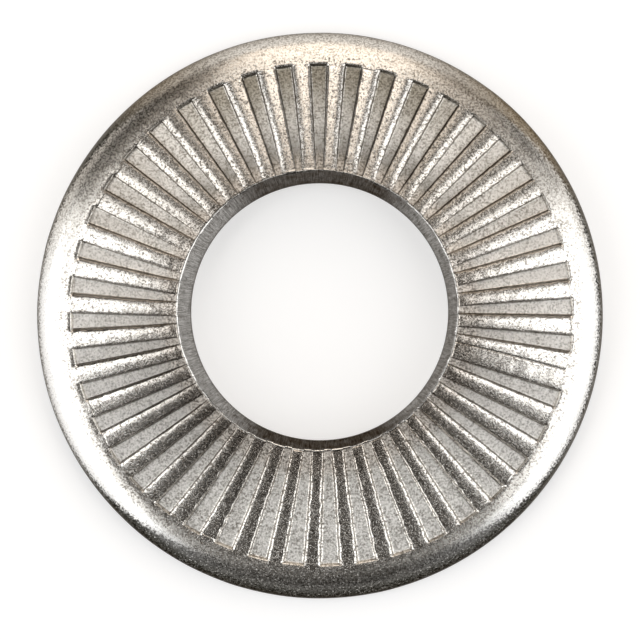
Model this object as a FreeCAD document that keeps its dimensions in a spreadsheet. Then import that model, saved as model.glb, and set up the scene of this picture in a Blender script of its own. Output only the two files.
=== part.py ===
import FreeCAD, Part
import math
import os
import Sketcher

# Contact washer: a conical spring washer stamped from one piece of steel strip.
# It is dished, with a rolled rim and radial grooves pressed into its convex top.
# +Z is up along the bore, the origin lies under the bore on the plane it rests on.

os.makedirs("parts", exist_ok=True)
doc = FreeCAD.newDocument("contact_washer")

# Driving sizes in millimetres and degrees, each with the words that explain it
SIZES = (
    ("outside_diameter", 18.0, "diameter over the rolled rim"),
    ("bore_diameter", 8.2, "diameter of the straight part of the bore"),
    ("bore_mouth_diameter", 8.82, "diameter of the bore at the top, where the wall broke away"),
    ("bore_straight_height", 0.5, "height of the straight, burnished part of the bore"),
    ("bore_entry_radius", 0.1, "rounding of the lower edge of the bore"),
    ("thickness", 1.4, "thickness of the steel strip"),
    ("crown_radius", 32.0, "radius of the dished top, seen in section"),
    ("crown_offset", 1.8, "distance of the centre of that arc from the axis"),
    ("rim_roll_radius", 1.2, "radius with which the top rolls over into the outer wall"),
    ("seat_width", 0.3, "width of the narrow flat ring that the washer rests on"),
    ("seat_edge_radius", 0.15, "rounding between the seat and the outer wall"),
    ("groove_count", 43, "number of radial grooves"),
    ("wide_step", 12.8, "angle across the one wider land, if all other steps were even"),
    ("first_groove_angle", -6.3, "angle of the first groove from +X"),
    ("tool_shift", 1.37, "angle by which the press tool, off centre to +Y, shifts the grooves at +X"),
    ("tooth_drift", 0.68, "unevenness of the tool's own teeth, a wave twice round the ring"),
    ("tooth_drift_angle", 25.0, "turn of that wave"),
    ("rim_width", 1.05, "width of the plain rim outside the grooves"),
    ("groove_outer_width", 0.5, "width of the groove floor at its outer end"),
    ("groove_bore_width", 0.2, "width of the groove floor at the mouth of the bore"),
    ("groove_outer_depth", 0.12, "depth of the groove at its outer end"),
    ("groove_bore_depth", 0.08, "depth of the groove at the mouth of the bore"),
    ("groove_wall_angle", 60.0, "slope of the groove walls, measured from the floor"),
    ("groove_overrun", 0.3, "how far the pressing tooth runs out past the mouth of the bore"),
    ("tooth_clearance", 0.15, "how far the pressing tooth stands above the deepest groove"),
)

# Sizes that follow from the driving ones
FOLLOWING = (
    ("outside_radius", "outside_diameter / 2"),
    ("groove_step", "(360 - wide_step) / (groove_count - 1)"),
    ("mouth_radius", "bore_mouth_diameter / 2"),
    ("underside_radius", "crown_radius - thickness"),
    ("seat_inner_radius", "outside_radius - seat_edge_radius - seat_width"),
    ("crown_centre_z", "-sqrt(pow(underside_radius; 2) - pow(seat_inner_radius - crown_offset; 2))"),
    ("wall_run", "groove_outer_depth / tan(groove_wall_angle * 1deg)"),
    ("floor_end_radius", "outside_radius - rim_width - wall_run"),
    ("land_end_z", "crown_centre_z + sqrt(pow(crown_radius; 2) - pow(floor_end_radius - crown_offset; 2))"),
    ("land_mouth_z", "crown_centre_z + sqrt(pow(crown_radius; 2) - pow(mouth_radius - crown_offset; 2))"),
    ("floor_end_z", "land_end_z - groove_outer_depth"),
    ("floor_mouth_z", "land_mouth_z - groove_bore_depth"),
    ("floor_reach", "floor_end_radius - mouth_radius"),
    ("floor_slope", "(floor_mouth_z - floor_end_z) / floor_reach"),
    ("floor_length", "(floor_reach + groove_overrun) * sqrt(1 + pow(floor_slope; 2))"),
    ("width_lost", "(groove_outer_width - groove_bore_width) * (floor_reach + groove_overrun) / floor_reach"),
    ("tooth_height", "max(groove_outer_depth; groove_bore_depth) * 2 + tooth_clearance"),
)

sheet = doc.addObject("Spreadsheet::Sheet", "Sizes")


def fill_row(row, words, content, alias):
    """Write one row of the sheet: words, a value or formula, and its name."""
    sheet.set(f"A{row}", words)
    sheet.set(f"B{row}", content)
    sheet.setAlias(f"B{row}", alias)


for row, (alias, value, meaning) in enumerate(SIZES, start=1):
    fill_row(row, meaning, str(value), alias)
for row, (alias, formula) in enumerate(FOLLOWING, start=len(SIZES) + 1):
    fill_row(row, alias.replace("_", " "), "=" + formula, alias)
doc.recompute()


def size(alias):
    """Value of one named size as a plain number."""
    return float(sheet.get(alias))


# Angle of each groove: even steps, with the tool's shift and the drift of its teeth
GROOVES = tuple(f"groove_{number}_angle" for number in range(int(size("groove_count"))))
for number, alias in enumerate(GROOVES):
    even = f"(first_groove_angle + {number} * groove_step) * 1deg"
    formula = (f"={number} * groove_step + tool_shift * cos({even})"
               f" + tooth_drift * cos(2 * {even} - tooth_drift_angle * 1deg)")
    fill_row(len(SIZES) + len(FOLLOWING) + 1 + number, alias.replace("_", " "), formula, alias)
doc.recompute()


def crown_height(radius, arc_radius):
    """Height of an arc round the crown's centre at a distance from the axis."""
    across = radius - size("crown_offset")
    return size("crown_centre_z") + math.sqrt(arc_radius ** 2 - across ** 2)


def origin_plane(body, role):
    """Origin plane of a body, found by its role."""
    return next(f for f in body.Origin.OriginFeatures if f.Role == role)


def place_sketch(body, name, role):
    """New sketch on one of the body's origin planes."""
    sketch = body.newObject("Sketcher::SketchObject", name)
    sketch.AttachmentSupport = (origin_plane(body, role), [""])
    sketch.MapMode = "FlatFace"
    return sketch


def drive(sketch, name, constraint, formula):
    """Add a constraint that takes its value from the sheet."""
    index = sketch.addConstraint(constraint)
    sketch.renameConstraint(index, name)
    sketch.setExpression(f"Constraints.{name}", formula)


def arc(centre, start, end):
    """Arc round a centre, anticlockwise from one point to another."""
    radius = (start - centre).Length
    first = math.atan2(start.y - centre.y, start.x - centre.x)
    last = math.atan2(end.y - centre.y, end.x - centre.x)
    if last < first:
        last += 2 * math.pi
    circle = Part.Circle(centre, FreeCAD.Vector(0, 0, 1), radius)
    return Part.ArcOfCircle(circle, first, last)


def line(start, end):
    """Straight edge between two points."""
    return Part.LineSegment(start, end)


def point(x, y):
    """Point in a sketch's own plane."""
    return FreeCAD.Vector(x, y, 0)


body = doc.addObject("PartDesign::Body", "contact_washer")
body.Label = "contact_washer"

# Section of the dished blank, to be turned round the axis
bore_radius = size("bore_diameter") / 2
outside_radius = size("outside_radius")
roll = size("rim_roll_radius")
edge = size("seat_edge_radius")
crown_centre = point(size("crown_offset"), size("crown_centre_z"))
roll_across = outside_radius - roll - crown_centre.x
roll_reach = size("crown_radius") - roll
roll_up = math.sqrt(roll_reach ** 2 - roll_across ** 2)
roll_centre = crown_centre + point(roll_across, roll_up)
bore_bottom = point(bore_radius, crown_height(bore_radius, size("underside_radius")))
bore_break = bore_bottom + point(0, size("bore_straight_height"))
mouth = point(size("mouth_radius"), size("land_mouth_z"))
roll_start = roll_centre + point(roll_across, roll_up) * (roll / roll_reach)
wall_top = roll_centre + point(roll, 0)
wall_foot = point(outside_radius, edge)
seat_outer = point(outside_radius - edge, 0)
seat_inner = point(size("seat_inner_radius"), 0)

section = place_sketch(body, "Section", "XZ_Plane")
BORE, BREAK, CROWN, ROLL, WALL, EDGE, SEAT, UNDERSIDE = range(8)
START, END, CENTRE = range(1, 4)
HORIZONTAL_AXIS, VERTICAL_AXIS = range(-1, -3, -1)
section.addGeometry([
    line(bore_bottom, bore_break),
    line(bore_break, mouth),
    arc(crown_centre, roll_start, mouth),
    arc(roll_centre, wall_top, roll_start),
    line(wall_top, wall_foot),
    arc(point(outside_radius - edge, edge), seat_outer, wall_foot),
    line(seat_outer, seat_inner),
    arc(crown_centre, seat_inner, bore_bottom),
], False)
joined = (
    ("Coincident", BORE, END, BREAK, START),
    ("Coincident", BREAK, END, CROWN, END),
    ("Tangent", CROWN, START, ROLL, END),
    ("Tangent", ROLL, START, WALL, START),
    ("Tangent", WALL, END, EDGE, END),
    ("Tangent", EDGE, START, SEAT, START),
    ("Coincident", SEAT, END, UNDERSIDE, START),
    ("Coincident", UNDERSIDE, END, BORE, START),
    ("Coincident", CROWN, CENTRE, UNDERSIDE, CENTRE),
)
for kind, first, first_end, second, second_end in joined:
    section.addConstraint(Sketcher.Constraint(kind, first, first_end, second, second_end))
section.addConstraint(Sketcher.Constraint("Vertical", BORE))
section.addConstraint(Sketcher.Constraint("Vertical", WALL))
section.addConstraint(Sketcher.Constraint("Horizontal", SEAT))
section.addConstraint(Sketcher.Constraint("PointOnObject", SEAT, START, HORIZONTAL_AXIS))


def from_axis(name, geometry, end, value, formula):
    """Fix the distance of a point of the section from the axis."""
    constraint = Sketcher.Constraint("DistanceX", HORIZONTAL_AXIS, START, geometry, end, value)
    drive(section, name, constraint, formula)


def radius_of(name, geometry, value, formula):
    """Fix the radius of an arc of the section."""
    drive(section, name, Sketcher.Constraint("Radius", geometry, value), formula)


from_axis("bore_wall", BORE, START, bore_radius, "Sizes.bore_diameter / 2")
from_axis("bore_mouth", BREAK, END, mouth.x, "Sizes.mouth_radius")
from_axis("crown_centre", CROWN, CENTRE, crown_centre.x, "Sizes.crown_offset")
from_axis("outer_wall", WALL, START, outside_radius, "Sizes.outside_radius")
radius_of("crown", CROWN, size("crown_radius"), "Sizes.crown_radius")
radius_of("underside", UNDERSIDE, size("underside_radius"), "Sizes.underside_radius")
radius_of("rim_roll", ROLL, roll, "Sizes.rim_roll_radius")
radius_of("seat_edge", EDGE, edge, "Sizes.seat_edge_radius")
drive(section, "seat", Sketcher.Constraint("DistanceX", SEAT, END, SEAT, START, size("seat_width")),
      "Sizes.seat_width")
drive(section, "bore_straight",
      Sketcher.Constraint("DistanceY", BORE, START, BORE, END, size("bore_straight_height")),
      "Sizes.bore_straight_height")

blank = body.newObject("PartDesign::Revolution", "Blank")
blank.Profile = section
blank.ReferenceAxis = (section, ["V_Axis"])
blank.Angle = 360
doc.recompute()

# One groove: its floor drawn on the sloping plane of the tooth that presses it
floor = place_sketch(body, "GrooveFloor", "XY_Plane")
floor.AttachmentOffset = FreeCAD.Placement(
    FreeCAD.Vector(size("floor_end_radius"), 0, size("floor_end_z")),
    FreeCAD.Rotation(FreeCAD.Vector(0, 1, 0), math.degrees(math.atan(size("floor_slope")))))
floor.setExpression("AttachmentOffset.Base.x", "Sizes.floor_end_radius")
floor.setExpression("AttachmentOffset.Base.z", "Sizes.floor_end_z")
floor.setExpression("AttachmentOffset.Rotation.Angle", "atan(Sizes.floor_slope)")

half_outer = size("groove_outer_width") / 2
half_inner = half_outer - size("width_lost") / 2
length = size("floor_length")
corners = (point(0, -half_outer), point(0, half_outer), point(-length, half_inner),
           point(-length, -half_inner))
floor.addGeometry([line(corners[i], corners[(i + 1) % 4]) for i in range(4)], False)
OUTER_SIDE, LEFT_SIDE, INNER_SIDE, RIGHT_SIDE = range(4)
for side in range(4):
    following = (side + 1) % 4
    floor.addConstraint(Sketcher.Constraint("Coincident", side, END, following, START))
floor.addConstraint(Sketcher.Constraint("PointOnObject", OUTER_SIDE, START, VERTICAL_AXIS))
floor.addConstraint(Sketcher.Constraint("Symmetric", OUTER_SIDE, START, OUTER_SIDE, END, HORIZONTAL_AXIS))
floor.addConstraint(Sketcher.Constraint("Symmetric", INNER_SIDE, START, INNER_SIDE, END, HORIZONTAL_AXIS))
drive(floor, "outer_width",
      Sketcher.Constraint("DistanceY", OUTER_SIDE, START, OUTER_SIDE, END, 2 * half_outer),
      "Sizes.groove_outer_width")
drive(floor, "inner_width",
      Sketcher.Constraint("DistanceY", INNER_SIDE, END, INNER_SIDE, START, 2 * half_inner),
      "Sizes.groove_outer_width - Sizes.width_lost")
drive(floor, "floor_length",
      Sketcher.Constraint("DistanceX", INNER_SIDE, START, OUTER_SIDE, END, length),
      "Sizes.floor_length")

# The tooth widens upward from the floor, so the side and end walls of the groove slope alike
groove = body.newObject("PartDesign::Pocket", "Groove")
groove.Profile = floor
groove.Type = "Length"
groove.Reversed = True
groove.setExpression("Length", "Sizes.tooth_height")
groove.setExpression("TaperAngle", "90 - Sizes.groove_wall_angle")
doc.recompute()
one_groove = blank.Shape.Volume - groove.Shape.Volume

# The grooves follow one another round the top in uneven steps, which leave one wider land
grooves = body.newObject("PartDesign::PolarPattern", "Grooves")
grooves.Originals = [groove]
grooves.Axis = (section, ["V_Axis"])
body.Tip = grooves
grooves.setExpression("Occurrences", "Sizes.groove_count")
grooves.Mode = "Spacing"
steps = [f"Sizes.{following} - Sizes.{groove}" for groove, following in zip(GROOVES, GROOVES[1:])]
grooves.setExpression("Spacings", f"list({'; '.join(steps)})")
doc.recompute()

# The punch drew the lower edge of the bore round as it went in
HAIR = 1e-6
lower_edge = next(f"Edge{number}" for number, rim in enumerate(grooves.Shape.Edges, start=1)
                  if isinstance(rim.Curve, Part.Circle)
                  and abs(rim.Curve.Radius - bore_radius) < HAIR
                  and abs(rim.Curve.Center.z - bore_bottom.y) < HAIR)
entry = body.newObject("PartDesign::Fillet", "BoreEntry")
entry.Base = (grooves, [lower_edge])
entry.setExpression("Radius", "Sizes.bore_entry_radius")
body.Tip = entry

# The whole washer is turned so that its first groove lies where it should
body.setExpression("Placement.Rotation.Angle", "Sizes.first_groove_angle")
doc.recompute()

removed = blank.Shape.Volume - grooves.Shape.Volume
print(f"Blank {blank.Shape.Volume:.2f} mm3, one groove {one_groove:.4f} mm3, "
      f"all grooves {removed / one_groove:.2f} times that")

for item in doc.Objects:
    if "Invalid" in item.State or "Error" in item.State:
        raise RuntimeError(f"{item.Label} did not recompute: {item.State}")
if body.Shape.isNull() or not body.Shape.isValid():
    raise RuntimeError("The washer has no valid shape")
box = body.Shape.optimalBoundingBox()
print(f"Washer {box.XLength:.2f} x {box.YLength:.2f} x {box.ZLength:.3f} mm, "
      f"lowest point at {box.ZMin:.4f}, {len(body.Shape.Solids)} solid")
body.Shape.exportStep(f"parts/{body.Label}.step")
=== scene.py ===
# %% [markdown]
# # A contact washer
#
# A contact washer is a small dished spring ring that is pressed from steel strip.
# Its rim is rolled over, and its convex top carries radial grooves that were
# pressed by a toothed punch. The solid from the CAD model has the true sizes.
# Here it is dressed: the same form, with the uneven walls, domed lands, pits and
# sheared edges that stamping leaves behind.

# %% Load the frame
import math
from functools import partial
from types import SimpleNamespace

import bpy
import numpy as np
from mathutils import Matrix, Vector


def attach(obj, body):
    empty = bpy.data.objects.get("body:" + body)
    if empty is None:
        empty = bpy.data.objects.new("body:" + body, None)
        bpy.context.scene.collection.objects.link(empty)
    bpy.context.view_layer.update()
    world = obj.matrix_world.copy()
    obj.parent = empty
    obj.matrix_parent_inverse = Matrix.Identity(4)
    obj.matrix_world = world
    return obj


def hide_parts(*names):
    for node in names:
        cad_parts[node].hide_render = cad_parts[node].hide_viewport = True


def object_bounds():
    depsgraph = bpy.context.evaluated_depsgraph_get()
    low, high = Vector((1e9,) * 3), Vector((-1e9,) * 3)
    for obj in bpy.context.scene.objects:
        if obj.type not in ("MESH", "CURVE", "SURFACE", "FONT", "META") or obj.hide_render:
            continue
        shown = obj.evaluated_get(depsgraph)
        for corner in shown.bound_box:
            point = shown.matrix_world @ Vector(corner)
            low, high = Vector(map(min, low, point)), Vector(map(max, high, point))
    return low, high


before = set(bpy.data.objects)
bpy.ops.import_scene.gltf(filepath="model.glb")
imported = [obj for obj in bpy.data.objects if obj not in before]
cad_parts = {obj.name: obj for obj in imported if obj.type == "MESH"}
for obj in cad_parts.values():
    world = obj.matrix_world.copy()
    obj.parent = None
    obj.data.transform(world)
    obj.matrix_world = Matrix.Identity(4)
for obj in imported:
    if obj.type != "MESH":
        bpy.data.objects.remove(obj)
cad_box = [list(corner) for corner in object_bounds()]
NODE = "contact_washer"
MM = 0.001
print("CAD box in mm:", [[round(v / MM, 3) for v in corner] for corner in cad_box])

# %% [markdown]
# ## The section of the blank
#
# Seen in section, the washer is a strip 1.4 mm thick, bent to a long shallow arc.
# The top rolls over into the outer wall on a smaller arc. The hole was punched
# from below: its wall is straight and burnished low down, and above that the
# steel broke away to a wider mouth. All sizes are in millimetres, and the mesh
# is made in metres at the end.

# %% Sizes of the section
OUTSIDE = 8.9965
BORE = 4.1
THICKNESS = 1.4
CROWN = 32.0
CROWN_OFFSET = 1.8
ROLL = 1.2
EDGE = 0.15
SEAT = 0.3
BURNISHED = 0.5
UNDERSIDE = CROWN - THICKNESS
SEAT_INNER = OUTSIDE - EDGE - SEAT
CROWN_Z = -math.sqrt(UNDERSIDE ** 2 - (SEAT_INNER - CROWN_OFFSET) ** 2)
ROLL_ACROSS = OUTSIDE - ROLL - CROWN_OFFSET
ROLL_Z = CROWN_Z + math.sqrt((CROWN - ROLL) ** 2 - ROLL_ACROSS ** 2)
ROLL_TILT = math.asin(ROLL_ACROSS / (CROWN - ROLL))
BORE_BOTTOM = CROWN_Z + math.sqrt(UNDERSIDE ** 2 - (BORE - CROWN_OFFSET) ** 2)


def crown_top(radius):
    """Height of the dished top: the arc's centre height plus the root of the
    arc radius squared less the distance from the arc's centre squared."""
    return CROWN_Z + np.sqrt(CROWN ** 2 - (radius - CROWN_OFFSET) ** 2)


def crown_bottom(radius):
    """The same arc, one strip thickness lower."""
    return CROWN_Z + np.sqrt(UNDERSIDE ** 2 - (radius - CROWN_OFFSET) ** 2)


print("free height in mm:", round(float(crown_top(4.41)), 3))

# %% [markdown]
# ## Unevenness that repeats exactly
#
# A stamped edge is never a clean line. Smooth noise on a ring gives that: random
# values on a coarse grid that closes on itself, with a smooth curve between them.
# The seed is fixed, so that each run makes the same washer.

# %% Smooth noise on a ring


def ring_noise(turn, along, around_cells, along_cells, seed):
    """Values from -1 to 1. turn goes round once from 0 to 1 and joins up, along
    goes from 0 to 1. Random values on a grid are blended with weights
    w = t * t * (3 - 2 * t), where t is the place between two grid lines."""
    table = np.random.default_rng(seed).uniform(-1, 1, (along_cells + 2, around_cells))
    u = (turn % 1.0) * around_cells
    v = np.clip(along, 0, 1) * along_cells
    left, low = np.floor(u).astype(int), np.floor(v).astype(int)
    a, b = u - left, v - low
    a, b = a * a * (3 - 2 * a), b * b * (3 - 2 * b)
    right, left = (left + 1) % around_cells, left % around_cells
    near = table[low, left] * (1 - a) + table[low, right] * a
    far = table[low + 1, left] * (1 - a) + table[low + 1, right] * a
    return near * (1 - b) + far * b


# %% [markdown]
# ## Where the grooves lie
#
# The press tool has 43 teeth. It sat a little off centre, so the steps between
# grooves grow and shrink slowly round the ring, and one land came out wider.

# %% Groove angles and the grid's columns
TEETH = 43
FIRST = math.radians(-6.3)
STEP = math.radians((360 - 12.8) / (TEETH - 1))
TOOL_SHIFT = math.radians(1.37)
TOOTH_DRIFT = math.radians(0.68)
DRIFT_TURN = math.radians(25)


def unevenness(number):
    """Shift of a groove: a wave once round the ring, for the tool that sat off
    centre, and a wave twice round, for the drift of its teeth."""
    even = FIRST + STEP * number
    return TOOL_SHIFT * np.cos(even) + TOOTH_DRIFT * np.cos(2 * even - DRIFT_TURN)


def groove_angle(number):
    """Angle of a groove: even steps from the first, plus what its own shift
    differs from the first one's."""
    return FIRST + STEP * number + unevenness(number) - unevenness(0)


# Where grid lines lie on half a floor, on a wall, on a land and on the wide land.
FLOOR_PART = (0.0, 0.34, 0.68, 0.95)
WALL_PART = (0.07, 0.36, 0.66, 0.93)
LAND_PART = (0.03, 0.12, 0.26, 0.42, 0.58, 0.74, 0.88, 0.97)
WIDE_LAND_PART = (0.015, 0.06, 0.13, 0.2, 0.27, 0.34, 0.41, 0.48, 0.53, 0.56, 0.575, 0.59,
                  0.605, 0.62, 0.66, 0.72, 0.78, 0.84, 0.9, 0.95, 0.985)


def columns():
    """One row for each grid line from the bore to the rim: the groove it starts
    from, the share of the way to the next groove's side, the share of the
    floor's half width, and the share of the wall's run."""
    rows = []
    for tooth in range(TEETH):
        lands = WIDE_LAND_PART if tooth == TEETH - 1 else LAND_PART
        rows += [(tooth, 0, part, 0) for part in FLOOR_PART]
        rows += [(tooth, 0, 1, part) for part in WALL_PART]
        rows += [(tooth, part, 1, 1) for part in lands]
        rows += [(tooth, 1, 1, part) for part in reversed(WALL_PART)]
        rows += [(tooth, 1, part, 0) for part in reversed(FLOOR_PART[1:])]
    return np.array(rows).T


tooth, across, floor_share, wall_share = columns()
this_groove = groove_angle(tooth)
next_groove = groove_angle((tooth + 1) % TEETH) + np.where(tooth == TEETH - 1, 2 * math.pi, 0)
owner = np.where(across < 0.5, tooth, (tooth + 1) % TEETH).astype(int)
is_land = (floor_share == 1) & (wall_share == 1)
print(len(tooth), "columns round the ring for", TEETH, "grooves")

# %% [markdown]
# ## The grooved top
#
# Every grid line follows its groove: some run along the floor, some up the side
# wall, some over the land. So the sharp corners lie on grid lines and stay
# crisp, and the grid never has to be fine everywhere.
#
# The sides of a groove are not alike. On one side the tooth held the metal, so
# the wall is steep and the land keeps its edge. On the other the metal flowed,
# so the wall leans and the land falls away in a round shoulder. Which side that
# is changes round the ring, so both follow the direction that a side faces.

# %% Slopes and shoulders of the sides
LEAST_SLOPE = 48
FRONT_EXTRA, BACK_EXTRA, AWAY_EXTRA, UPPER_EXTRA = 32, 28, 26, 12
FRONT_SHARPER, AWAY_SHARPER, NEAR_ROUNDER = 0.8, 0.7, 0.7


def side_forms():
    """How much each side faces back, its slope, and the share of the shoulder
    that its land gets. A side faces a quarter turn from its groove's direction:
    faces_back is 1 where that is +Y, and faces_out is 1 where it is away from the
    middle, to the right or the left. Of the four rules for the slope, in degrees
    above the least one, the steepest holds."""
    sine, cosine = np.sin(this_groove), np.cos(this_groove)
    faces_back = np.where(across < 0.5, -1, 1) * cosine
    faces_out = np.where(across < 0.5, 1, -1) * sine * np.clip(4 * cosine, -1, 1)
    upper, lower = np.clip(2 * sine, 0, 1), np.clip(-2 * sine, 0, 1)
    front = np.clip((-faces_back - 0.7) / 0.3, 0, 1)
    away = np.clip(-1.4 * faces_out, 0, 1) * upper
    near = np.clip(1.4 * faces_out, 0, 1) * upper
    extra = [FRONT_EXTRA * front, BACK_EXTRA * np.clip(faces_back, 0, 1) * lower,
             AWAY_EXTRA * away, UPPER_EXTRA * upper]
    slope = np.tan(np.radians(LEAST_SLOPE + np.max(extra, axis=0)))
    shoulder = 1 - FRONT_SHARPER * front + (NEAR_ROUNDER * near - AWAY_SHARPER * away) * (1 - front)
    return faces_back, slope, shoulder


faces_back, side_slope, dome_share = side_forms()
print("side slopes in degrees:", np.round(np.degrees(np.arctan([side_slope.min(), side_slope.max()]))))

# %% Shape of one groove
MOUTH = 4.42
GROOVE_END = 7.965
OUTER_WIDTH, BORE_WIDTH = 0.5, 0.2
OUTER_DEPTH, BORE_DEPTH = 0.12, 0.08
END_SLOPE = math.tan(math.radians(60))
LEAN, LEAN_WAVE, LEAN_TWIST = 0.38, 0.5, 0.35
DOME_DROP, DOME_REACH = 0.019, 0.22
CREASE, CREASE_DEPTH, CREASE_WIDTH = 0.59, 0.03, 0.012
CAD_TOP = cad_box[1][2] / MM
BREAK_SLOPE = (MOUTH - BORE) / (crown_top(MOUTH) - BORE_BOTTOM - BURNISHED)


def lean(groove):
    """How far a groove's inner end is turned on from its outer end: a constant, a
    wave once round the ring and a wave twice round."""
    return np.radians(LEAN - LEAN_WAVE * np.sin(groove) + LEAN_TWIST * np.sin(2 * groove))


def groove_angles(along, wall_height, half_width, share):
    """Angle of every grid line at every step from the bore to the rim. A line
    starts at a groove's centre, moves out by its share of the floor and of the
    wall, both divided by the radius, and lands blend between two grooves. The
    second result is the distance in mm to the nearer side of the land."""
    radius = MOUTH + (GROOVE_END - MOUTH) * along
    out = (floor_share * half_width + wall_share * wall_height / side_slope) / radius
    start = this_groove + lean(this_groove) * (1 - along) + out
    end = next_groove + lean(next_groove) * (1 - along) - out
    side = np.minimum(share, 1 - share) * (end - start) * radius
    return start * (1 - share) + end * share, side


def domed(side):
    """How far a land falls away near its sides: nothing in the middle, and more
    and more steeply towards the walls."""
    return DOME_DROP * np.clip(1 - side / DOME_REACH, 0, 1) ** 2


# %% The grooved top as rows of points
WIDTH_SPREAD, WIDTH_WAVE = 0.06, 0.06
DEPTH_SWELL, DEPTH_SPREAD, DEPTH_UNEVEN = 0.06, 0.08, 0.03
RUN_OUT, RUN_OUT_SHARE, RUN_OUT_WAVE = 0.2, 0.85, 0.5
WALL_RAGGED, LAND_RAGGED, LAND_UNEVEN = 0.35, 0.003, 0.004
CREASE_BEND, CREASE_TURN = 0.065, 0.125
END_ACROSS, END_AHEAD, END_SPREAD = 0.057, 0.022, 0.02
MOUTH_ACROSS, MOUTH_AHEAD = -0.083, 0.166
tooth_random = np.random.default_rng(11).uniform(-1, 1, (3, TEETH))


def groove_depth(along, uneven):
    """Depth of the floor: a straight change from bore to rim with a slight swell
    between, a spread from tooth to tooth, and a soft run-out near the mouth,
    weaker at the front of the ring."""
    depth = BORE_DEPTH + (OUTER_DEPTH - BORE_DEPTH) * along + DEPTH_SWELL * along * (1 - along)
    depth = depth * (1 + DEPTH_SPREAD * tooth_random[1, owner] + DEPTH_UNEVEN * uneven)
    near_mouth = np.clip(1 - along / RUN_OUT, 0, 1) ** 1.5
    return depth * (1 - near_mouth * (RUN_OUT_SHARE + RUN_OUT_WAVE * np.minimum(0, np.sin(this_groove))))


def grooved_top(rows=38):
    """Radius, angle, height and distance to the land's side, from the bore's
    mouth to the end of the grooves. Height is the crown, less the groove's depth
    times what is left of the wall, less the land's doming. Ragged is a fine noise
    of 400 cells round the ring, uneven a coarse one of 90. The wide land has a
    crease, where the punch struck twice."""
    along = np.concatenate([[0, 0.008], np.linspace(0.022, 0.985, rows), [0.997]])[:, None]
    turn = (this_groove + next_groove)[None, :] / (4 * math.pi)
    ragged = ring_noise(turn, along, 400, 46, 5)
    uneven = ring_noise(turn, along, 90, 12, 6)
    half = 0.5 * (BORE_WIDTH + (OUTER_WIDTH - BORE_WIDTH) * along)
    half = half * (1 + WIDTH_SPREAD * tooth_random[0, owner] - WIDTH_WAVE * np.sin(this_groove))
    depth = groove_depth(along, uneven)
    bend = np.minimum(across / CREASE, (1 - across) / (1 - CREASE)) * (tooth == TEETH - 1)
    share = across + bend * (CREASE_BEND - CREASE_TURN * along)
    fade = np.minimum(1, 2 * along + 0.5)
    wall_height = (depth - DOME_DROP * fade * dome_share) * (1 + WALL_RAGGED * ragged)
    angle, side = groove_angles(along, wall_height, half, share)
    end = GROOVE_END + END_ACROSS * np.cos(angle) + END_AHEAD * np.sin(angle)
    end = end + END_SPREAD * tooth_random[2, owner]
    floor_end = end - OUTER_DEPTH / END_SLOPE
    sunk = depth * (1 - wall_share) * ~is_land
    mouth = MOUTH + MOUTH_ACROSS * np.cos(angle) + MOUTH_AHEAD * np.sin(angle) - BREAK_SLOPE * sunk
    radius = mouth + (floor_end - mouth) * along
    height = crown_top(radius) - sunk - domed(side) * dome_share * fade * wall_share
    height = height + is_land * (LAND_RAGGED * ragged + LAND_UNEVEN * uneven)
    height = height - CREASE_DEPTH * np.exp(-((across - CREASE) / CREASE_WIDTH) ** 2) * (bend > 0)
    height = np.minimum(height, CAD_TOP - 0.003 + 0.002 * uneven)
    return radius, angle, height, side


radius, angle, height, land_side = grooved_top()
print("top grid:", radius.shape, "radius from", round(float(radius.min()), 3),
      "to", round(float(radius.max()), 3))

# %% [markdown]
# ## One closed skin
#
# The whole washer is one surface: a section carried once round the axis. The
# rows start at the lower edge of the bore, climb its wall, cross the grooved
# top, roll over the rim, and come back along the underside to where they began.

# %% Bore wall, rim and underside as rows
MOUTH_EDGE = 0.03
BORE_EDGE, BORE_BURR = 0.1, 0.03
BORE_ACROSS, BORE_AHEAD = -0.01, 0.121
TORN, TORN_STEP = 0.012, 0.015
ROLL_WAVE = 0.006


def bore_wall():
    """Rows of the bore: a quarter round at the bottom edge, a straight length,
    and the broken part, which leans out to the mouth with small steps. The
    bore's centre drifts from the blank's by a cosine and a sine of the angle."""
    round_off = np.radians([0, 30, 60, 90])
    heights = np.concatenate([BORE_BOTTOM + BORE_EDGE * (1 - np.cos(round_off)),
                              BORE_BOTTOM + np.array([0.22, 0.36, 0.47, 0.53])])
    inward = np.concatenate([BORE_EDGE * (1 - np.sin(round_off)), np.zeros(4)])
    turning = angle[0][None, :]
    foot_radius = BORE - BORE_BURR + BORE_ACROSS * np.cos(turning) + BORE_AHEAD * np.sin(turning)
    foot_height = BORE_BOTTOM + BURNISHED + 0.05
    lower = foot_radius + inward[:, None]
    climb = np.linspace(0.12, 0.965, 8)[:, None]
    torn = ring_noise(turning / (2 * math.pi), climb, 260, 8, 21)
    step = ring_noise(turning / (2 * math.pi), climb, 60, 4, 22)
    upper = foot_radius + (radius[:1] - foot_radius) * climb - TORN * torn - TORN_STEP * step
    upper_height = foot_height + (height[:1] - foot_height) * climb
    shape = (len(heights), turning.shape[1])
    return (np.vstack([np.broadcast_to(lower, shape), upper]),
            np.vstack([np.broadcast_to(heights[:, None], shape), upper_height]))


def end_walls():
    """Rows of the groove's sloping outer end, where depth falls from the floor's
    to nothing. At a corner the shallower of side wall and end wall wins."""
    rising = np.array([0.08, 0.36, 0.64, 0.92, 1.12])[:, None]
    out = OUTER_DEPTH / END_SLOPE
    last_radius, last_angle = radius[-1:], angle[-1:]
    sunk = OUTER_DEPTH * np.minimum(1 - wall_share, 1 - rising).clip(0) * ~is_land
    rows = last_radius + out * (rising - 0.003)
    doming = domed(land_side[-1:]) * dome_share * wall_share * (1 - np.minimum(rising, 1) ** 2)
    return rows, np.broadcast_to(last_angle, rows.shape), crown_top(rows) - sunk - doming


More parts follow.
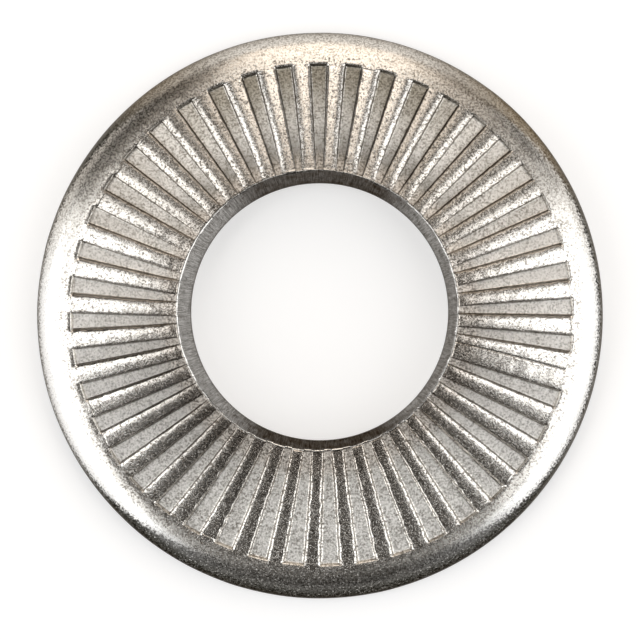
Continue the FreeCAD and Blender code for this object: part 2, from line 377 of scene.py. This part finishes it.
def rim():
    """Rows of the rolled rim: radius is the roll's centre plus its radius times
    the sine of the tilt, height the same with the cosine. A shallow waviness is
    taken off it, so that nothing stands outside the true outline."""
    tilt = np.linspace(ROLL_TILT + 0.035, math.pi / 2, 20)[:, None]
    turning = angle[-1:]
    wave = ring_noise(turning / (2 * math.pi), tilt / 2, 70, 8, 31)
    sunk = ROLL_WAVE * (1 + wave)
    rows = OUTSIDE - ROLL + (ROLL - sunk) * np.sin(tilt)
    heights = ROLL_Z + (ROLL - sunk) * np.cos(tilt)
    return rows, heights


def underside():
    """Rows of the outer wall, its lower edge, the seat and the hollow below."""
    low_edge = np.radians([90, 60, 30, 0])
    below = np.linspace(SEAT_INNER, BORE + 0.18, 9)
    rows = np.concatenate([[OUTSIDE], OUTSIDE - EDGE + EDGE * np.sin(low_edge), below])
    heights = np.concatenate([[0.25], EDGE * (1 - np.cos(low_edge)), crown_bottom(below)])
    return rows[:, None], heights[:, None]


# %% Join the rows and make the mesh
def full(values):
    """Spread a column of values, or a single row, over all the grid's columns."""
    return np.broadcast_to(values, (values.shape[0], len(tooth)))


bore_r, bore_z = bore_wall()
end_r, end_a, end_z = end_walls()
rim_r, rim_z = rim()
low_r, low_z = underside()

# One more row, and the first row of the top set back, round the mouth's edge.
edge_r, edge_z = radius[:1] + MOUTH_EDGE * 0.15, height[:1] - MOUTH_EDGE * 0.6
all_r = np.vstack([bore_r, edge_r, radius + MOUTH_EDGE * (np.arange(len(radius)) == 0)[:, None],
                   end_r, full(rim_r), full(low_r)])
all_z = np.vstack([bore_z, edge_z, height, end_z, full(rim_z), full(low_z)])
outer_rows, inner_rows = len(rim_r) + len(low_r), len(bore_r) + 1
all_a = np.vstack([np.repeat(angle[:1], inner_rows, 0), angle, end_a,
                   np.repeat(angle[-1:], outer_rows, 0)])

# %% Masks for the finishes, one value for each point
# Amounts of the painted shade, partly dirt, along the walls.
LEAST_WALL_SHADE_AND_DIRT, WALL_SHADE_AND_DIRT, WALL_SHADE_AND_DIRT_AHEAD, WALL_SHADE_AND_DIRT_BY_SIDE = 0.03, 0.28, 0.5, 0.7
top_start, top_end = inner_rows, inner_rows + len(radius)

# Red is the pressed floors. Green is sheared metal: the bore, and the last rows
# of the rim with the first ones of the underside. Blue is the mouth's worn edge.
masks = np.zeros(all_r.shape + (3,))
masks[top_start:top_end, :, 0] = (wall_share == 0) & ~is_land
masks[:len(bore_r), :, 1] = 1
masks[-len(low_r) - 3:-len(low_r) + 5, :, 1] = 1
masks[inner_rows - 1:inner_rows + 1, :, 2] = 1

# Painted shade, partly dirt, darkens the walls and their edges, most at the back of the
# ring and on sides that face back, and a painted shadow lies at the foot of the outer ends.
wall_shade_and_dirt_mask = np.zeros(all_r.shape)
on_wall = (floor_share == 1) * np.where(is_land, np.minimum(across, 1 - across) < 0.05, 1)
wall_shade_strength = WALL_SHADE_AND_DIRT + WALL_SHADE_AND_DIRT_AHEAD * np.sin(angle) + WALL_SHADE_AND_DIRT_BY_SIDE * faces_back
wall_shade_and_dirt_mask[top_start:top_end] = on_wall * np.clip(wall_shade_strength, LEAST_WALL_SHADE_AND_DIRT, 1)
# Painted shadow at the foot of the grooves' outer ends.
wall_shade_and_dirt_mask[top_end:top_end + 1] = 0.9 * ~is_land
print("points on groove floors:", int(masks[..., 0].sum()), "on sheared metal:", int(masks[..., 1].sum()))

# %% Mesh of the closed skin
def skin_mesh(name, r, a, z, finish, crease_shade_and_dirt):
    """Mesh of a closed ring of rows: x and y are the radius times the cosine and
    sine of the angle, and each quad joins a row to the next and a column to the
    next, both of which come round to the first again."""
    rows, cols = r.shape
    place = np.stack([r * np.cos(a), r * np.sin(a), z], -1).reshape(-1, 3) * MM
    number = np.arange(rows * cols).reshape(rows, cols)
    quads = np.stack([number, np.roll(number, -1, 0), np.roll(np.roll(number, -1, 0), -1, 1),
                      np.roll(number, -1, 1)], -1).reshape(-1, 4)
    parts = np.where((finish[..., 0] == 1) & (np.roll(finish[..., 0], -1, 0) == 1)
                     & (np.roll(finish[..., 0], -1, 1) == 1), 1, 0)
    mesh = bpy.data.meshes.new(name)
    mesh.from_pydata(place, [], quads)
    mesh.polygons.foreach_set("use_smooth", np.ones(len(quads), bool))
    mesh.polygons.foreach_set("material_index", parts.astype(np.int32).ravel())
    colour = mesh.color_attributes.new("finish", "FLOAT_COLOR", "POINT")
    rgba = np.concatenate([finish.reshape(-1, 3), np.ones((rows * cols, 1))], 1)
    colour.data.foreach_set("color", rgba.astype(np.float32).ravel())
    lines = mesh.attributes.new("crease_shade_and_dirt", "FLOAT", "POINT")
    lines.data.foreach_set("value", crease_shade_and_dirt.astype(np.float32).ravel())
    mesh.update()
    piece = bpy.data.objects.new(name, mesh)
    bpy.context.scene.collection.objects.link(piece)
    return piece


washer = skin_mesh("stamped_washer", all_r, all_a, all_z, masks, wall_shade_and_dirt_mask)
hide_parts(NODE)
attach(washer, "root")
print("washer:", all_r.shape, "grid,", 2 * all_r.size, "triangles")

# %% [markdown]
# ## The metal
#
# Three finishes meet on one piece. The rim and the lands are the plated skin:
# bright, with a fine grain, specks and pits. The groove floors were pressed flat
# by the teeth: an even grey, whose fine radial grain spreads the light. The bore
# and the lower edge are sheared metal, with fine streaks up the wall. The washer
# is brown and grainy near the bore. Painted light lies on the rim, the floors and
# the sheared metal at the right and left. Painted shade lies on the back diagonals
# of the rim, on parts of the floors and lands, and, partly with dirt, along the
# walls, and a painted dark band runs along the outer edge, reaching furthest in at
# the front and back. The mesh carries masks for the finishes, and the stains,
# painted light and painted shade follow the distance from the axis and the
# direction from it. Node groups for pits and streaks serve all.

# %% Small helpers for nodes
def add(tree, kind, values=None, **settings):
    """New node, with settings as properties and values for its inputs. A value
    may be another node's output, which is then linked."""
    node = tree.nodes.new(kind)
    for name, value in settings.items():
        setattr(node, name, value)
    for key, value in (values or {}).items():
        socket = node.inputs[key]
        if isinstance(value, bpy.types.NodeSocket):
            tree.links.new(value, socket)
        else:
            socket.default_value = value
    return node


def new_group(name, inputs, outputs):
    """Empty node group with float or vector inputs and float outputs."""
    group = bpy.data.node_groups.new(name, "ShaderNodeTree")
    for label, kind, value in inputs:
        socket = group.interface.new_socket(label, in_out="INPUT", socket_type=kind)
        if value is not None:
            socket.default_value = value
    for label in outputs:
        group.interface.new_socket(label, in_out="OUTPUT", socket_type="NodeSocketFloat")
    return group, group.nodes.new("NodeGroupInput"), group.nodes.new("NodeGroupOutput")


def ramp(tree, value, low, high):
    """0 at low, 1 at high, and a smooth change between them. Where low is the
    larger of the two, it is 1 below high and falls to 0 at low."""
    return add(tree, "ShaderNodeMapRange", {"Value": value, "From Min": low, "From Max": high},
               interpolation_type="SMOOTHSTEP").outputs["Result"]


def maths(tree, operation, first, second):
    """One arithmetic step on two values."""
    return add(tree, "ShaderNodeMath", {0: first, 1: second}, operation=operation).outputs[0]


def noise(tree, where, size, detail=2.0, rough=0.5, skew=0.0):
    """Noise whose lumps are about one over size across, in the units of where."""
    return add(tree, "ShaderNodeTexNoise", {"Vector": where, "Scale": size, "Detail": detail,
                                            "Roughness": rough, "Distortion": skew}).outputs["Fac"]


def blend(tree, share, first, second):
    """Mix of two colours: the first at share 0, the second at share 1. A colour
    given as three numbers gets its fourth here."""
    first, second = ((*c, 1) if isinstance(c, tuple) else c for c in (first, second))
    return add(tree, "ShaderNodeMix", {"Factor": share, 6: first, 7: second},
               data_type="RGBA").outputs[2]


def short_names(tree):
    """The helpers that the finishes use most, tied to one tree: product, sum,
    difference, smooth change and mix."""
    return (partial(maths, tree, "MULTIPLY"), partial(maths, tree, "ADD"),
            partial(maths, tree, "SUBTRACT"), partial(ramp, tree), partial(blend, tree))


# %% Node group for pits and grain
def pitted_group():
    """Pits are where two sizes of noise are low; specks are where a fine noise is
    high; grain is a fine noise as it is, and the mottle is a noise whose lumps
    are about half as wide as a land."""
    group, given, result = new_group("pits_and_grain", [
        ("Where", "NodeSocketVector", None), ("Amount", "NodeSocketFloat", 1.0)],
        ("Pits", "Grain", "Specks", "Mottle"))
    where = given.outputs["Where"]
    small = ramp(group, noise(group, where, 15, 2, 0.6, 0.4), 0.42, 0.34)
    large = ramp(group, noise(group, where, 6, 3, 0.6, 0.8), 0.38, 0.31)
    pits = maths(group, "MAXIMUM", small, maths(group, "MULTIPLY", large, 0.8))
    group.links.new(maths(group, "MULTIPLY", pits, given.outputs["Amount"]), result.inputs["Pits"])
    group.links.new(noise(group, where, 15, 3, 0.75), result.inputs["Grain"])
    specks = ramp(group, noise(group, where, 21, 1, 0.5, 0.3), 0.64, 0.69)
    group.links.new(specks, result.inputs["Specks"])
    group.links.new(noise(group, where, 3.2, 4, 0.6, 0.5), result.inputs["Mottle"])
    return group


# %% Node group for streaks
def streaked_group():
    """Streaks run along the radius or up the bore: the place is cut down to its
    direction from the axis, times a number, so noise changes round the ring and
    hardly along the other way."""
    group, given, result = new_group("radial_streaks", [
        ("Where", "NodeSocketVector", None), ("Fineness", "NodeSocketFloat", 180.0)], ("Streaks",))
    flat = add(group, "ShaderNodeVectorMath", {0: given.outputs["Where"], 1: (1, 1, 0)},
               operation="MULTIPLY").outputs[0]
    facing = add(group, "ShaderNodeVectorMath", {0: flat}, operation="NORMALIZE").outputs[0]
    spread = add(group, "ShaderNodeVectorMath", {0: facing, "Scale": given.outputs["Fineness"]},
                 operation="SCALE").outputs[0]
    drift = add(group, "ShaderNodeVectorMath", {0: given.outputs["Where"], 1: (2, 2, 2)},
                operation="MULTIPLY").outputs[0]
    moved = add(group, "ShaderNodeVectorMath", {0: spread, 1: drift}, operation="ADD").outputs[0]
    group.links.new(noise(group, moved, 1, 3, 0.6), result.inputs["Streaks"])
    return group


PITTED, STREAKED = pitted_group(), streaked_group()


# %% [markdown]
# ## Colours of the metal
#
# Most finishes have a dull and a plain colour, mixed by the mottle, and a lighter
# one that the grain brings through. Colours are linear, as the shader wants them,
# so they look darker as numbers than they do in the render.

# %% Colours
FLOOR_DULL, FLOOR_PLAIN, FLOOR_GRAIN = (0.33, 0.31, 0.275), (0.60, 0.58, 0.54), (0.95, 0.93, 0.9)
# Painted shadow for the floors' outer ends at the back, in two shades mixed by the grain.
FLOOR_END_PAINTED_SHADOW, FLOOR_END_PAINTED_SHADOW_GRAIN = (0.13, 0.11, 0.075), (0.30, 0.27, 0.20)
# Painted shade for the floors' back diagonals and inner half, and painted light for their right and left.
FLOOR_DIAGONAL_PAINTED_SHADE, FLOOR_INNER_PAINTED_SHADE, FLOOR_PAINTED_LIGHT = (0.22, 0.2, 0.17), (0.16, 0.145, 0.12), (1, 0.98, 0.95)
SKIN_DULL, SKIN_PLAIN, SKIN_GRAIN = (0.42, 0.395, 0.355), (0.64, 0.61, 0.565), (0.9, 0.88, 0.84)
# The first colour is a painted highlight for the rim's right and left; the second is the mouth's worn edge.
RIM_PAINTED_HIGHLIGHT, WORN = (0.97, 0.97, 0.96), (0.8, 0.79, 0.76)
# Painted shade for the rim's back diagonals, in two shades mixed by the grain.
RIM_PAINTED_SHADE, RIM_PAINTED_SHADE_GRAIN = (0.08, 0.065, 0.048), (0.3, 0.255, 0.2)
# Painted shade for the outer edge's dark band, and the lighter grey of its very edge.
EDGE_PAINTED_SHADE, EDGE_PAINTED_SHADE_GRAIN, EDGE_PAINTED_SHADE_OUTER = (0.014, 0.014, 0.012), (0.12, 0.118, 0.108), (0.42, 0.41, 0.38)
# The same painted band in brown, for the back.
EDGE_PAINTED_SHADE_BROWN, EDGE_PAINTED_SHADE_BROWN_GRAIN = (0.16, 0.125, 0.085), (0.42, 0.36, 0.28)
BROWN_DULL, BROWN_PLAIN, BROWN_GRAIN = (0.10, 0.085, 0.07), (0.27, 0.235, 0.2), (0.68, 0.63, 0.57)
CUT, CUT_STREAK, BURNISHED_CUT = (0.06, 0.055, 0.05), (0.16, 0.15, 0.14), (0.33, 0.34, 0.345)
# Painted light for the sheared metal at the right and left.
CUT_PAINTED_LIGHT, CUT_PAINTED_LIGHT_STREAK = (0.22, 0.215, 0.205), (0.5, 0.49, 0.475)
# The first colour is painted shade for the inner lands at the front left.
# The last colour is painted shade, partly dirt, along the walls.
FRONT_LEFT_PAINTED_SHADE, PIT_DIRT, CREASE_SHADE_AND_DIRT = (0.08, 0.07, 0.06), (0.09, 0.075, 0.06), (0.07, 0.058, 0.045)
STEEL_EDGE_TINT = (0.3, 0.28, 0.26, 1)
# Shows the rim's painted highlight and the painted dark band of the outer edge.
print("painted_highlight rim", RIM_PAINTED_HIGHLIGHT, "and painted_dark_band", EDGE_PAINTED_SHADE)

# %% [markdown]
# ## Stains, painted light and painted shade in their places
#
# The brown lies round the bore. Painted shade lies on two diagonals of the rim,
# along the outer edge and on parts of the floors and lands, and painted light on
# the right and left. Noise alone would put them anywhere, and a painted picture
# isn't needed for so plain a form. So each is a mask: a product of smooth changes
# with the distance from the axis and with the direction, roughened by the grain.
# The colour is then mixed by it.

# %% Places and patterns that the finishes share
def places(tree):
    """Where a point is: reach is its distance from the axis and up its height, in
    mm; ahead is 1 towards +Y, beside is 1 towards +X, and around is beside without
    its sign. The rest are the patterns of the two node groups, and the brown that
    both finishes have near the bore."""
    mix = partial(blend, tree)
    place = add(tree, "ShaderNodeTexCoord").outputs["Object"]
    where = add(tree, "ShaderNodeMapping", {"Vector": place, "Scale": (1 / MM, 1 / MM, 1 / MM)})
    where = where.outputs["Vector"]
    flat = add(tree, "ShaderNodeVectorMath", {0: where, 1: (1, 1, 0)}, operation="MULTIPLY").outputs[0]
    reach = add(tree, "ShaderNodeVectorMath", {0: flat}, operation="LENGTH").outputs["Value"]
    axes = add(tree, "ShaderNodeSeparateXYZ", {0: where}).outputs
    skin = add(tree, "ShaderNodeGroup", {"Where": where}, node_tree=PITTED).outputs
    streaks = add(tree, "ShaderNodeGroup", {"Where": where}, node_tree=STREAKED).outputs["Streaks"]
    beside = maths(tree, "DIVIDE", axes["X"], reach)
    mottle, grain = ramp(tree, skin["Mottle"], 0.36, 0.64), ramp(tree, skin["Grain"], 0.4, 0.6)
    return SimpleNamespace(
        reach=reach, up=axes["Z"], ahead=maths(tree, "DIVIDE", axes["Y"], reach), beside=beside,
        around=maths(tree, "ABSOLUTE", beside, 0.0), near_bore=ramp(tree, reach, 5.3, 4.8),
        skin=skin, mottle=mottle, grain=grain, streaks=ramp(tree, streaks, 0.35, 0.65),
        brown=mix(grain, mix(mottle, BROWN_DULL, BROWN_PLAIN), BROWN_GRAIN))


# %% Finish of the pressed floors
def floor_finish(tree, at):
    """Colour, pits and relief. Over the plain floor come, in this order: a painted
    shadow at the outer ends at the back, painted shade on the back diagonals,
    painted shade on the inner half, strongest at the back, painted light at the
    right and left, and the brown near the bore."""
    times, plus, _, rise, mix = short_names(tree)
    colour = mix(at.mottle, FLOOR_DULL, FLOOR_PLAIN)
    colour = mix(times(at.grain, 0.85), colour, FLOOR_GRAIN)
    # Painted shadow at the outer ends of the floors at the back.
    end_painted_shadow = times(rise(at.ahead, 0.7, 0.95), rise(at.reach, 5.4, 7.8))
    colour = mix(times(end_painted_shadow, 0.8), colour, mix(at.grain, FLOOR_END_PAINTED_SHADOW, FLOOR_END_PAINTED_SHADOW_GRAIN))
    # Painted shade on the floors' back diagonals.
    diagonal_painted_shade = times(times(rise(at.ahead, 0.0, 0.25), rise(at.ahead, 0.85, 0.65)), rise(at.reach, 5.6, 7.0))
    colour = mix(times(diagonal_painted_shade, 0.38), colour, FLOOR_DIAGONAL_PAINTED_SHADE)
    # Painted shade on the inner half of the floors, strongest at the back.
    inner = times(plus(0.25, times(rise(at.ahead, 0.3, 0.9), 0.5)), rise(at.reach, 6.6, 5.0))
    colour = mix(inner, colour, FLOOR_INNER_PAINTED_SHADE)
    # Painted light on the floors at the right and left.
    painted_light_share = times(rise(at.ahead, 0.5, 0.2), rise(at.ahead, -0.8, -0.5))
    colour = mix(times(painted_light_share, 0.35), colour, FLOOR_PAINTED_LIGHT)
    colour = mix(times(at.near_bore, 0.85), colour, at.brown)
    return colour, times(at.skin["Pits"], 0.5), times(at.grain, 0.001)


# %% Painted highlight and painted shade of the plated skin
def rim_painted_light_and_shade(tree, at, colour):
    """Painted highlight on the rim where it faces right and left. Painted shade lies on
    both diagonals at the back, more at the left, and weaker on the lands."""
    times, plus, minus, rise, mix = short_names(tree)
    # Painted highlight: the rim is lighter where it faces right and left.
    sides = times(rise(minus(at.around, times(at.ahead, 0.5)), 0.75, 1.0), rise(at.reach, 8.2, 8.5))
    colour = mix(times(sides, 0.8), colour, RIM_PAINTED_HIGHLIGHT)
    # Painted shade on the back diagonals.
    diagonals = times(rise(at.ahead, 0.3, 0.55), rise(at.ahead, 0.98, 0.85))
    on_rim = times(plus(0.28, times(rise(at.beside, 0.2, -0.2), 0.35)), rise(at.reach, 7.9, 8.3))
    strength = times(diagonals, maths(tree, "MAXIMUM", on_rim, 0.43))
    return mix(strength, colour, mix(at.grain, RIM_PAINTED_SHADE, RIM_PAINTED_SHADE_GRAIN))


def painted_edge_band(tree, at, colour):
    """A painted dark band of shade along the outer edge. It reaches further in at
    the front and the back, by the fourth power of ahead, and its border follows
    the grain. It is thinner at the very back, specks of the plain colour stay, it
    is lighter grey at the very edge except at the front, and brown at the back."""
    times, plus, minus, rise, mix = short_names(tree)
    inward = times(maths(tree, "POWER", maths(tree, "ABSOLUTE", at.ahead, 0.0), 4.0), 0.9)
    inward = minus(plus(inward, times(plus(at.beside, at.ahead), 0.05)), times(at.grain, 0.12))
    # Painted shade: the dark band along the outer edge.
    band = times(rise(plus(at.reach, inward), 8.76, 8.88), plus(0.25, times(rise(at.reach, 8.2, 8.8), 0.75)))
    band = times(band, minus(1.0, times(rise(at.ahead, 0.7, 0.95), 0.7)))
    band = times(band, minus(1.0, times(at.skin["Specks"], 0.7)))
    outer = times(rise(at.reach, 8.84, 8.96), rise(at.ahead, -0.8, -0.4))
    dark = mix(times(outer, 0.6), mix(at.grain, EDGE_PAINTED_SHADE, EDGE_PAINTED_SHADE_GRAIN), EDGE_PAINTED_SHADE_OUTER)
    back = times(rise(at.ahead, 0.3, 0.7), rise(at.beside, -0.8, -0.5))
    return mix(band, colour, mix(back, dark, mix(at.grain, EDGE_PAINTED_SHADE_BROWN, EDGE_PAINTED_SHADE_BROWN_GRAIN)))


# %% Brown and painted shade near the bore, and the sheared metal with painted light
def near_bore_brown_and_shade(tree, at, colour):
    """Brown grows from the middle of the lands towards the bore, and painted shade makes
    it stronger at the front than at the back. Painted shade lies on the inner lands at the front left."""
    times, _, minus, rise, mix = short_names(tree)
    # Brown towards the bore; that it is stronger at the front than at the back is painted shade.
    strength = minus(0.82, times(rise(at.ahead, 0.2, 0.7), 0.5))
    colour = mix(times(times(rise(at.reach, 7.0, 4.9), strength), 0.6), colour, at.brown)
    colour = mix(times(at.near_bore, strength), colour, at.brown)
    # Painted shade on the inner lands at the front left.
    front_left_shade = times(rise(at.ahead, -0.1, -0.4), rise(at.beside, -0.2, -0.5))
    return mix(times(times(front_left_shade, rise(at.reach, 7.2, 6.2)), 0.35), colour, FRONT_LEFT_PAINTED_SHADE)


def cut_metal(tree, at):
    """Streaked metal of the bore and the lower edge, with painted light at the right
    and left, and greyer in the burnished band low in the bore."""
    times, _, _, rise, mix = short_names(tree)
    dark, bright = mix(at.streaks, CUT, CUT_STREAK), mix(at.streaks, CUT_PAINTED_LIGHT, CUT_PAINTED_LIGHT_STREAK)
    # Painted light: lighter where the metal faces right and left.
    colour = mix(rise(at.around, 0.4, 0.75), dark, bright)
    return mix(times(rise(at.up, 1.3, 1.15), 0.55), colour, BURNISHED_CUT)


# %% Finish of the plated skin
def skin_finish(tree, at):
    """Colour, pits, relief and roughness. The mesh's mask gives the sheared metal
    in green and the worn edge of the mouth in blue. The rim has fewer pits and is
    a little rougher; grain and specks stand up, pits go down."""
    times, plus, minus, rise, mix = short_names(tree)
    mask = add(tree, "ShaderNodeSeparateColor",
               {"Color": add(tree, "ShaderNodeAttribute", attribute_name="finish").outputs["Color"]})
    sheared, worn = mask.outputs[1], mask.outputs[2]
    colour = mix(at.grain, mix(at.mottle, SKIN_DULL, SKIN_PLAIN), SKIN_GRAIN)
    colour = near_bore_brown_and_shade(tree, at, painted_edge_band(tree, at, rim_painted_light_and_shade(tree, at, colour)))
    colour = mix(worn, mix(sheared, colour, cut_metal(tree, at)), WORN)
    on_lands = minus(1.0, times(rise(at.reach, 8.1, 8.4), 0.65))
    ahead_only = minus(1.0, times(rise(at.around, 0.75, 0.95), 0.35))
    pits = times(at.skin["Pits"], times(on_lands, ahead_only))
    rough = plus(plus(0.12, times(at.grain, 0.14)), times(pits, 0.2))
    rough = plus(rough, times(rise(at.reach, 7.9, 8.2), 0.1))
    relief = plus(times(at.skin["Grain"], 0.0004), times(at.skin["Specks"], 0.0065))
    return colour, pits, minus(relief, times(pits, 0.004)), rough


# %% [markdown]
# ## Two materials on one mesh
#
# The floors' gloss is drawn out by their fine radial grain, and the skin's gloss
# is round, so they are two materials. They share the places, the dirt in pits,
# the painted shade, partly dirt, along the creases, and the dark tint that a
# bare metal edge has where it is seen flat.

# %% The washer's two materials
def steel_shader(name):
    """New metal, its tree, its shader and the shared places."""
    material = bpy.data.materials.new(name)
    material.use_nodes = True
    shader = material.node_tree.nodes["Principled BSDF"]
    shader.inputs["Metallic"].default_value = 1.0
    shader.inputs["Specular Tint"].default_value = STEEL_EDGE_TINT
    return material, material.node_tree, shader, places(material.node_tree)


def dress(tree, shader, colour, pits, relief):
    """Dirt in the pits, painted shade that is partly grime along the foot of the walls, then colour and
    bump.
    """
    crease = add(tree, "ShaderNodeAttribute", attribute_name="crease_shade_and_dirt").outputs["Fac"]
    colour = blend(tree, maths(tree, "MULTIPLY", pits, 0.75), colour, PIT_DIRT)
    # Painted shade, partly dirt, along the walls and the foot of the outer ends.
    colour = blend(tree, maths(tree, "MULTIPLY", crease, 0.8), colour, CREASE_SHADE_AND_DIRT)
    tree.links.new(colour, shader.inputs["Base Color"])
    bump = add(tree, "ShaderNodeBump", {"Height": relief, "Distance": MM, "Strength": 1.0})
    tree.links.new(bump.outputs["Normal"], shader.inputs["Normal"])


def skin_material():
    """The plated skin, with the sheared and worn metal by the mesh's masks."""
    material, tree, shader, at = steel_shader("stamped_steel")
    colour, pits, relief, rough = skin_finish(tree, at)
    tree.links.new(rough, shader.inputs["Roughness"])
    dress(tree, shader, colour, pits, relief)
    return material


def floor_material():
    """The pressed floors. Their fine radial grain spreads light round the ring:
    an anisotropic gloss whose tangent turns round the Z axis."""
    material, tree, shader, at = steel_shader("pressed_floor")
    shader.inputs["Roughness"].default_value = 0.5
    shader.inputs["Anisotropic"].default_value = 0.75
    tangent = add(tree, "ShaderNodeTangent", direction_type="RADIAL", axis="Z").outputs[0]
    tree.links.new(tangent, shader.inputs["Tangent"])
    dress(tree, shader, *floor_finish(tree, at))
    return material


for material in (skin_material(), floor_material()):
    washer.data.materials.append(material)
    print(material.name, "has", len(material.node_tree.nodes), "nodes")

# %% [markdown]
# ## The table it lies on
#
# The washer lies on a white sheet, lit so evenly that the sheet is nearly pure
# white. A little of the sheet's white is its own to the camera and to mirror
# rays, and the rest comes from the lamps, so that the washer's shadow stays.

# %% White sheet
SHEET_WHITE, SHEET_GLOW, SHEET_HALF = (0.63, 0.63, 0.63, 1), 0.45, 2.0


def sheet_material():
    """A diffuse white with a small glow for camera, mirror and glass rays."""
    material = bpy.data.materials.new("white_sheet")
    material.use_nodes = True
    tree = material.node_tree
    shader = tree.nodes["Principled BSDF"]
    shader.inputs["Base Color"].default_value = SHEET_WHITE
    shader.inputs["Roughness"].default_value = 0.9
    ray = add(tree, "ShaderNodeLightPath").outputs
    seen = maths(tree, "MAXIMUM", maths(tree, "MAXIMUM", ray["Is Camera Ray"], ray["Is Glossy Ray"]),
                 ray["Is Transmission Ray"])
    shader.inputs["Emission Color"].default_value = (1, 1, 1, 1)
    tree.links.new(maths(tree, "MULTIPLY", seen, SHEET_GLOW), shader.inputs["Emission Strength"])
    return material


def flat_sheet(half):
    """A square in the plane under the washer."""
    mesh = bpy.data.meshes.new("white_sheet")
    mesh.from_pydata([(-half, -half, 0), (half, -half, 0), (half, half, 0), (-half, half, 0)], [],
                     [(0, 1, 2, 3)])
    mesh.materials.append(sheet_material())
    piece = bpy.data.objects.new("white_sheet", mesh)
    bpy.context.scene.collection.objects.link(piece)
    return piece


flat_sheet(SHEET_HALF)
print("white sheet:", 2 * SHEET_HALF, "m wide")

# %% [markdown]
# ## Light
#
# The metal shows what stands round it. Soft boxes left and right make the white
# flanks, and a warm panel behind makes the pale top. Nothing stands in front or
# overhead, so the near side and the level lands go grey and dark. Each box is a
# stack of strips that gets narrower upwards. The white stacks get a little
# brighter and the warm one fades. Where the strips end decides which lands turn
# dark.

# %% One strip of light
def panel(name, facing, high, low, reach, spread, power, colour):
    """Rectangular lamp that leans over the washer. Facing is its compass angle,
    high and low are the angles of its top and bottom edge from straight up,
    spread is half its width as an angle, and power is its brightness."""
    turn, top, bottom = (math.radians(v) for v in (facing, high, low))
    out = Vector((math.cos(turn), math.sin(turn), 0))
    top_edge = reach * (out * math.sin(top) + Vector((0, 0, math.cos(top))))
    bottom_edge = reach * (out * math.sin(bottom) + Vector((0, 0, math.cos(bottom))))
    lamp = bpy.data.lights.new(name, "AREA")
    lamp.shape = "RECTANGLE"
    lamp.size = 2 * reach * math.tan(math.radians(spread)) * math.sin((top + bottom) / 2)
    lamp.size_y = (top_edge - bottom_edge).length
    lamp.energy = power * math.pi * lamp.size * lamp.size_y
    lamp.color = colour
    up = (top_edge - bottom_edge).normalized()
    across_lamp = out.cross(Vector((0, 0, 1)))
    holder = bpy.data.objects.new(name, lamp)
    turned = Matrix((across_lamp, up, across_lamp.cross(up))).transposed()
    if turned.col[2].dot(top_edge + bottom_edge) < 0:
        turned = Matrix((-across_lamp, up, up.cross(across_lamp))).transposed()
    holder.matrix_world = Matrix.Translation((top_edge + bottom_edge) / 2) @ turned.to_4x4()
    bpy.context.scene.collection.objects.link(holder)
    return holder


# %% The strips of light
LAMP_REACH = 0.40
WHITE, CREAM = (1, 1, 1), (1.0, 0.90, 0.80)
ROOM_GREY = (0.052, 0.046, 0.04, 1)

# Name, facing, spread, top edge, bottom edge, power, colour.
STRIPS = (
    ("right_low", -8, 37, 50, 89, 1.9, WHITE),
    ("right_mid", -6, 35, 31, 50, 2.2, WHITE),
    ("right_high", 5, 23, 21, 31, 2.8, WHITE),
    ("right_top", 12, 17, 14, 21, 2.6, WHITE),
    ("left_low", 194, 37, 50, 89, 1.9, WHITE),
    ("left_mid", 191, 35, 36, 50, 2.4, WHITE),
    ("left_high", 171, 22, 21, 31, 3.0, WHITE),
    ("left_edge", 186, 30, 31, 36, 2.4, WHITE),
    ("left_top", 166, 18, 14, 21, 2.6, WHITE),
    ("warm_low", 89, 19, 50, 89, 2.0, CREAM),
    ("warm_mid", 89, 21, 31, 50, 1.9, CREAM),
    ("warm_high", 88, 25, 20, 31, 1.7, CREAM),
    ("warm_top", 86, 30, 12, 20, 1.1, CREAM),
    ("fill", 60, 10, 35, 89, 0.45, CREAM))
for name, facing, spread, high, low, power, colour in STRIPS:
    panel(name, facing, high, low, LAMP_REACH, spread, power, colour)

world = bpy.data.worlds.new("studio")
bpy.context.scene.world = world
world.use_nodes = True
world.node_tree.nodes["Background"].inputs["Color"].default_value = ROOM_GREY
print(len(STRIPS), "strips of light,", LAMP_REACH, "m from the washer")

# %% [markdown]
# ## Camera
#
# The photograph looks straight down on the washer. A long lens from a short
# distance gives the same slight view into the bore.

# %% Camera
PICTURE_WIDTH, PIXELS_PER_MM = 640, 31.4
FRAME_MM = PICTURE_WIDTH / PIXELS_PER_MM
DISTANCE_MM, CAMERA_SHIFT_MM = 200.0, -0.14
lens = bpy.data.cameras.new("camera")
lens.sensor_width = 36.0
lens.lens = lens.sensor_width * DISTANCE_MM / FRAME_MM
lens.clip_start = 0.001
camera = bpy.data.objects.new("camera", lens)
camera.location = (0.0, CAMERA_SHIFT_MM * MM, DISTANCE_MM * MM)
bpy.context.scene.collection.objects.link(camera)
bpy.context.scene.camera = camera
bpy.context.scene.view_settings.view_transform = "Standard"
